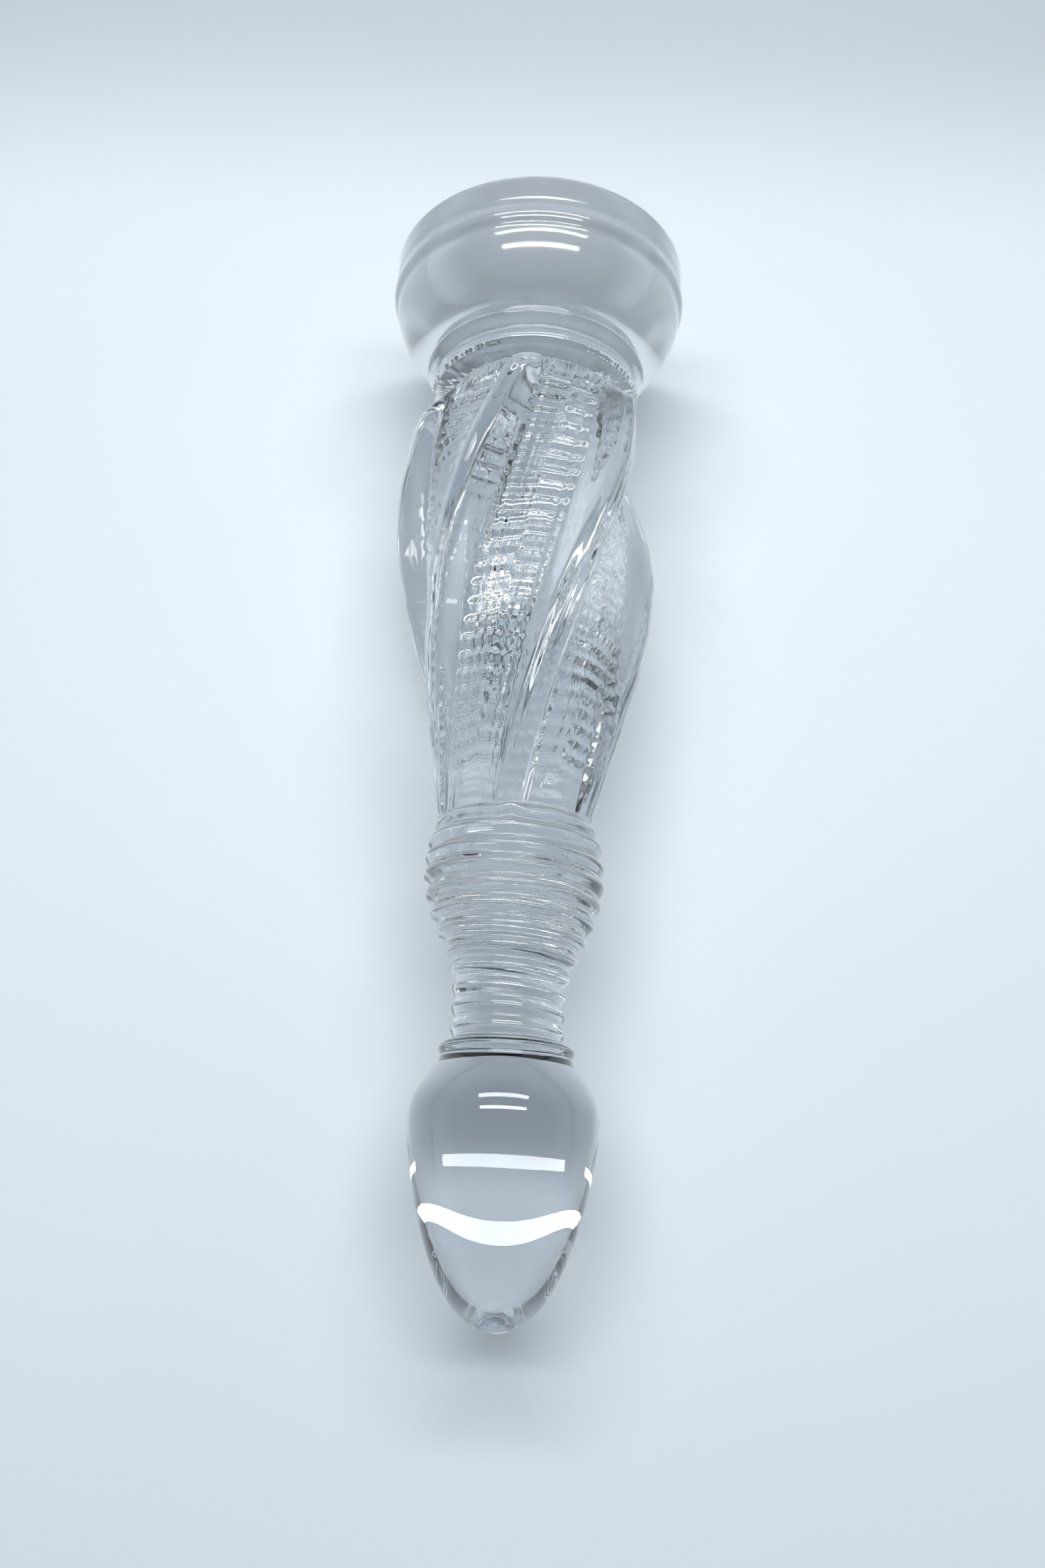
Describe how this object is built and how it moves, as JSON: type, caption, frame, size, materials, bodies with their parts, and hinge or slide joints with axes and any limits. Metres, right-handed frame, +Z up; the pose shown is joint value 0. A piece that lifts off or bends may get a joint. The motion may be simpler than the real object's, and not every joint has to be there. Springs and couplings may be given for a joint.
{
  "type": "glass wand",
  "caption": "Solid clear-glass handheld wand with a flared foot, a twisted finned body, a ringed collar and neck, and a rounded acorn-shaped tip.",
  "frame": {"origin": "centre of the flat face of the foot", "axes": "+Y is the outward normal of the foot face, along the wand's axis; the tip points to -Y; +Z is up as the wand lies on its side on a table; +X completes the right-handed set"},
  "size_m": [0.0518, 0.1815, 0.0518],
  "materials": {
    "foot_glass": "clear, faintly hazy",
    "body_glass": "clear, crimped and flame polished",
    "ring_glass": "clear, flame polished",
    "tip_glass": "clear, flame polished"
  },
  "bodies": {
    "root": {"foot": "foot_glass", "foot_band": "foot_glass", "foot_ring_1": "ring_glass", "foot_ring_2": "ring_glass", "body_core": "body_glass", "fin_1": "body_glass", "fin_2": "body_glass", "fin_3": "body_glass", "fin_4": "body_glass", "fin_5": "body_glass", "collar_core": "ring_glass", "collar_ring_01": "ring_glass", "collar_ring_02": "ring_glass", "collar_ring_03": "ring_glass", "collar_ring_04": "ring_glass", "collar_ring_05": "ring_glass", "collar_ring_06": "ring_glass", "collar_ring_07": "ring_glass", "collar_ring_08": "ring_glass", "collar_ring_09": "ring_glass", "collar_ring_10": "ring_glass", "collar_ring_11": "ring_glass", "seat_ring": "ring_glass", "tip": "tip_glass"}
  },
  "joints": []
}
